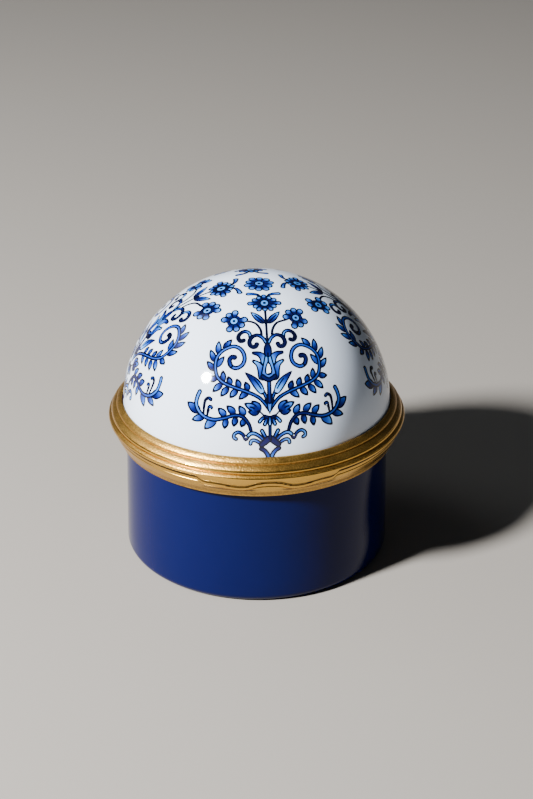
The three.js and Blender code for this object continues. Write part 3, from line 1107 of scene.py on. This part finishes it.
def to_plan(way):
    """Directions seen from above, with the distance from the top measured along the dome."""
    fall = np.arctan2(np.hypot(way[:, 0], way[:, 1]), way[:, 2])
    turn = np.arctan2(way[:, 1], way[:, 0])
    return np.stack([fall * np.cos(turn), fall * np.sin(turn)], 1)


def from_plan(plan):
    fall = np.hypot(plan[:, 0], plan[:, 1])
    turn = np.arctan2(plan[:, 1], plan[:, 0])
    return np.stack([np.sin(fall) * np.cos(turn), np.sin(fall) * np.sin(turn), np.cos(fall)], 1)


def painting():
    """Every stroke in plan, in the order they are painted."""
    made = []
    strokes = motif()
    for k, (sway, lift) in enumerate(MOTIF_LAYS):
        turn = 2 * math.pi * k / len(MOTIF_LAYS)
        for stroke in strokes:
            made.append(stroke.moved(lambda p: to_plan(on_sphere(on_transfer(p, sway, lift), turn))))
    apex = flower(APEX_FLOWER_PLACE, APEX_FLOWER_REACH, 10, 0.2)
    return made + [stroke.moved(lambda p: p / (DOME_RADIUS / MM)) for stroke in apex]


def inside_outline(points, outline):
    """Which points lie inside a closed outline, by the even-odd rule."""
    x, y = points[:, 0], points[:, 1]
    inside = np.zeros(len(points), bool)
    for (x0, y0), (x1, y1) in zip(outline, np.roll(outline, -1, 0)):
        crosses = (y0 > y) != (y1 > y)
        if y0 != y1:
            inside ^= crosses & (x < x0 + (y - y0) * (x1 - x0) / (y1 - y0))
    return inside


def dome_plan(rim_fall, rim_count):
    """Points and edges in plan for the dome's outside: its rim, the painted outlines, and even rings."""
    points = [rim_fall * circle(rim_count)]
    edges = [(i, (i + 1) % rim_count) for i in range(rim_count)]
    start = rim_count
    strokes = painting()
    for stroke in strokes:
        for outline in (stroke.outer, stroke.inner):
            if outline is not None:
                count = len(outline)
                points.append(outline)
                edges += [(start + i, start + (i + 1) % count) for i in range(count)]
                start += count
    for k in range(1, DOME_RINGS):
        fall = rim_fall * k / DOME_RINGS
        count = max(6, round(2 * math.pi * math.sin(fall) * DOME_RINGS / rim_fall))
        points.append(fall * circle(count, RING_TWIST * k))
    return np.concatenate(points), edges, strokes


def tone_colours(tones):
    """Linear colours for tones from ink by way of 0, the deep blue, and 1, nearly the pale blue, to white."""
    c = colours()
    stops = np.array([linear(v) for v in (c.ink, c.deep, c.middle, c.pale, c.white)])
    places = (-0.6, 0, 0.5, 1.2, BARE - 0.4)
    return np.stack([np.interp(tones, places, stops[:, i]) for i in range(4)], 1)


def paint_faces(plan, faces, strokes):
    """A colour for each corner of each triangle, by the topmost stroke that its middle lies in."""
    corners = plan[faces]
    middles = corners.mean(1)
    white, ink = np.array(linear(colours().white)), np.array(linear(colours().ink))
    painted = np.tile(white, (len(faces), 3, 1))
    rng = np.random.default_rng(PAINTING_SEED)
    for stroke in strokes:
        shift = rng.normal(0, 0.1)
        low, high = stroke.outer.min(0), stroke.outer.max(0)
        near = np.nonzero(((middles >= low) & (middles <= high)).all(1))[0]
        near = near[inside_outline(middles[near], stroke.outer)]
        painted[near] = ink
        if stroke.inner is None or not len(near):
            continue
        near = near[inside_outline(middles[near], stroke.inner)]
        ends, tones = stroke.ends, stroke.tones
        along = ends[1] - ends[0]
        share = ((corners[near] - ends[0]) @ along) / max(along @ along, 1e-12)
        tone = tones[0] + (tones[1] - tones[0]) * np.clip(share, 0, 1) + shift
        painted[near] = tone_colours(tone.ravel()).reshape(-1, 3, 4)
    return painted


class RINGBOX_OT_dome(bpy.types.Operator):
    """Make the dome of the lid, with the painting in its outer surface"""

    bl_idname = "ringbox.dome"
    bl_label = "Painted Dome"

    def execute(self, context):
        s = sizes()
        rim_fall = math.acos((DOME[0].z - DOME_CENTRE) / DOME_RADIUS)
        plan, edges, strokes = dome_plan(rim_fall, RIM_COUNT)
        got = delaunay_2d_cdt([Vector(p) for p in plan], edges, [], 0, 1e-7)
        plan = np.array([tuple(v) for v in got[0]])
        faces = np.array(got[2])
        corners = plan[faces]
        cross = np.cross(corners[:, 1] - corners[:, 0], corners[:, 2] - corners[:, 0])
        faces[cross < 0] = faces[cross < 0][:, ::-1]
        painted = paint_faces(plan, faces, strokes)
        outer = from_plan(plan)
        shell, shell_faces = self.inside_shell(rim_fall, RIM_COUNT, DOME_RADIUS - s.wall)
        co = np.concatenate([outer * DOME_RADIUS, shell]) + (0, 0, DOME_CENTRE)
        first = len(outer)
        rim = self.rim_order(outer, RIM_COUNT)
        band = []
        for i in range(RIM_COUNT):
            j = (i + 1) % RIM_COUNT
            band.append((rim[j], rim[i], first + i, first + j))
        mesh = bpy.data.meshes.new("lid_dome_enamel")
        all_faces = [
            *(tuple(int(i) for i in f) for f in faces),
            *band,
            *(tuple(first + i for i in f) for f in shell_faces),
        ]
        mesh.from_pydata(co.tolist(), [], all_faces)
        mesh.materials.append(material(painted_enamel, "painted vitreous enamel"))
        mesh.materials.append(white_inside())
        for face in list(mesh.polygons)[len(faces) :]:
            face.material_index = 1
        mesh.polygons.foreach_set("use_smooth", [True] * len(mesh.polygons))
        paint = mesh.color_attributes.new("paint", "FLOAT_COLOR", "CORNER")
        values = np.ones((len(mesh.loops), 4))
        values[: 3 * len(faces)] = painted.reshape(-1, 4)
        paint.data.foreach_set("color", values.ravel())
        self.set_normals(mesh, outer, first, len(faces), len(band))
        piece = link(bpy.data.objects.new("lid_dome_enamel", mesh))
        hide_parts("lid_dome")
        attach(piece, "lid")
        return {"FINISHED"}

    def rim_order(self, outer, count):
        """The outer surface's rim points, in order round the axis."""
        lowest = np.nonzero(outer[:, 2] < outer[:, 2].min() + 1e-6)[0]
        turn = np.arctan2(outer[lowest, 1], outer[lowest, 0]) % (2 * math.pi - 1e-6)
        order = lowest[np.argsort(turn)]
        if len(order) != count:
            raise RuntimeError(f"the dome's rim has {len(order)} points instead of {count}")
        return [int(i) for i in order]

    def inside_shell(self, rim_fall, count, radius):
        """Points and faces of the white inside, from the rim up to the top, facing inwards."""
        rim_z = DOME_RADIUS * math.cos(rim_fall)
        first_fall = math.acos(rim_z / radius)
        level = circle(count)
        points = []
        for k in range(SHELL_ROWS):
            fall = first_fall * (1 - k / SHELL_ROWS)
            ring = np.column_stack([level * math.sin(fall), np.full(count, math.cos(fall))])
            points.append(ring * radius)
        points.append(np.array([[0, 0, radius]]))
        faces = []
        for k in range(SHELL_ROWS - 1):
            for i in range(count):
                j = (i + 1) % count
                a, b = k * count, (k + 1) * count
                faces.append((a + j, a + i, b + i, b + j))
        top, last = SHELL_ROWS * count, (SHELL_ROWS - 1) * count
        faces += [(last + (i + 1) % count, last + i, top) for i in range(count)]
        return np.concatenate(points), faces

    def set_normals(self, mesh, outer, first, painted_faces, band_faces):
        """The sphere's own normals, so that slim triangles of the painting don't show in the gloss."""
        normals = np.zeros((len(mesh.vertices), 3))
        normals[:first] = outer
        inner = np.array([v.co for v in mesh.vertices[first:]]) - (0, 0, DOME_CENTRE)
        normals[first:] = -inner / np.linalg.norm(inner, axis=1)[:, None]
        loops = np.empty(len(mesh.loops), np.int32)
        mesh.loops.foreach_get("vertex_index", loops)
        each = normals[loops]
        start = 3 * painted_faces
        each[start : start + 4 * band_faces] = (0, 0, -1)
        mesh.normals_split_custom_set(each.tolist())


# Stage: floor, light and camera

VIEW_DISTANCE = 279.64 * MM
VIEW_RISE = math.radians(26.58)
VIEW_TURN = math.radians(-4.74)
VIEW_YAW = math.radians(-0.30)
AIM_HEIGHT = 23.04 * MM
LENS = 84.5
FLOOR_HALF = 1.5


def add_light(name, place, aim, size, power, colour):
    data = bpy.data.lights.new(name, "AREA")
    data.shape = "DISK"
    data.size = size
    data.energy = power
    data.color = colour
    lamp = link(bpy.data.objects.new(name, data))
    lamp.location = place
    lamp.rotation_euler = (Vector(aim) - Vector(place)).to_track_quat("-Z", "Y").to_euler()


class RINGBOX_OT_stage(bpy.types.Operator):
    """Make the floor, the studio light and the camera"""

    bl_idname = "ringbox.stage"
    bl_label = "Stage"

    def execute(self, context):
        self.make_floor()
        self.make_light()
        self.make_camera()
        return {"FINISHED"}

    def make_floor(self):
        mesh = bpy.data.meshes.new("floor")
        corners = [(x * FLOOR_HALF, y * FLOOR_HALF, 0) for x, y in ((-1, -1), (1, -1), (1, 1), (-1, 1))]
        mesh.from_pydata(corners, [], [(0, 1, 2, 3)])
        floor = link(bpy.data.objects.new("floor", mesh))
        mat, _, shader = new_material("matt painted board", {"Roughness": 0.85})
        shader.inputs["Base Color"].default_value = linear(colours().floor)
        mesh.materials.append(mat)

    def make_light(self):
        world = bpy.data.worlds.new("studio")
        bpy.context.scene.world = world
        world.use_nodes = True
        back = world.node_tree.nodes["Background"]
        back.inputs["Color"].default_value = linear("#dfe6f0")
        back.inputs["Strength"].default_value = 0.05
        centre = (0, 0, 0.022)
        add_light("key", (-0.347, -0.208, 0.316), centre, 0.07, 11.4, (1.0, 0.985, 0.96))
        add_light("fill", (-0.5, 0.25, 0.55), centre, 0.4, 0.6, (0.9, 0.95, 1.0))

    def make_camera(self):
        data = bpy.data.cameras.new("camera")
        data.lens = LENS
        data.sensor_width = 36
        data.clip_start = 0.01
        camera = link(bpy.data.objects.new("camera", data))
        aim = Vector((0, 0, AIM_HEIGHT))
        away = Vector(
            (
                math.sin(VIEW_TURN) * math.cos(VIEW_RISE),
                -math.cos(VIEW_TURN) * math.cos(VIEW_RISE),
                math.sin(VIEW_RISE),
            )
        )
        camera.location = aim + away * VIEW_DISTANCE
        look = (-away).to_track_quat("-Z", "Y").to_matrix().to_4x4()
        camera.rotation_euler = (look @ Matrix.Rotation(VIEW_YAW, 4, "Y")).to_euler()
        bpy.context.scene.camera = camera


PIECES = (
    RINGBOX_OT_stage,
    RINGBOX_OT_base_cup,
    RINGBOX_OT_base_rim,
    RINGBOX_OT_pin,
    RINGBOX_OT_lid_rim,
    RINGBOX_OT_dome,
)


class RINGBOX_PT_panel(bpy.types.Panel):
    """Sizes, colours and pieces of the ring box"""

    bl_idname = "RINGBOX_PT_panel"
    bl_label = "Ring Box"
    bl_space_type = "VIEW_3D"
    bl_region_type = "UI"
    bl_category = "Ring Box"

    def draw(self, context):
        for group in (sizes(), colours()):
            box = self.layout.box()
            for name in type(group).__annotations__:
                box.prop(group, name)
        for piece in PIECES:
            self.layout.operator(piece.bl_idname)


CLASSES = (RingBoxSizes, RingBoxColours, *PIECES, RINGBOX_PT_panel)


def register():
    for cls in CLASSES:
        bpy.utils.register_class(cls)
    bpy.types.Scene.ring_box_sizes = bpy.props.PointerProperty(type=RingBoxSizes)
    bpy.types.Scene.ring_box_colours = bpy.props.PointerProperty(type=RingBoxColours)


def unregister():
    del bpy.types.Scene.ring_box_colours
    del bpy.types.Scene.ring_box_sizes
    for cls in reversed(CLASSES):
        bpy.utils.unregister_class(cls)


def main():
    register()
    for piece in PIECES:
        module, name = piece.bl_idname.split(".")
        getattr(getattr(bpy.ops, module), name)()


if __name__ == "__main__":
    main()
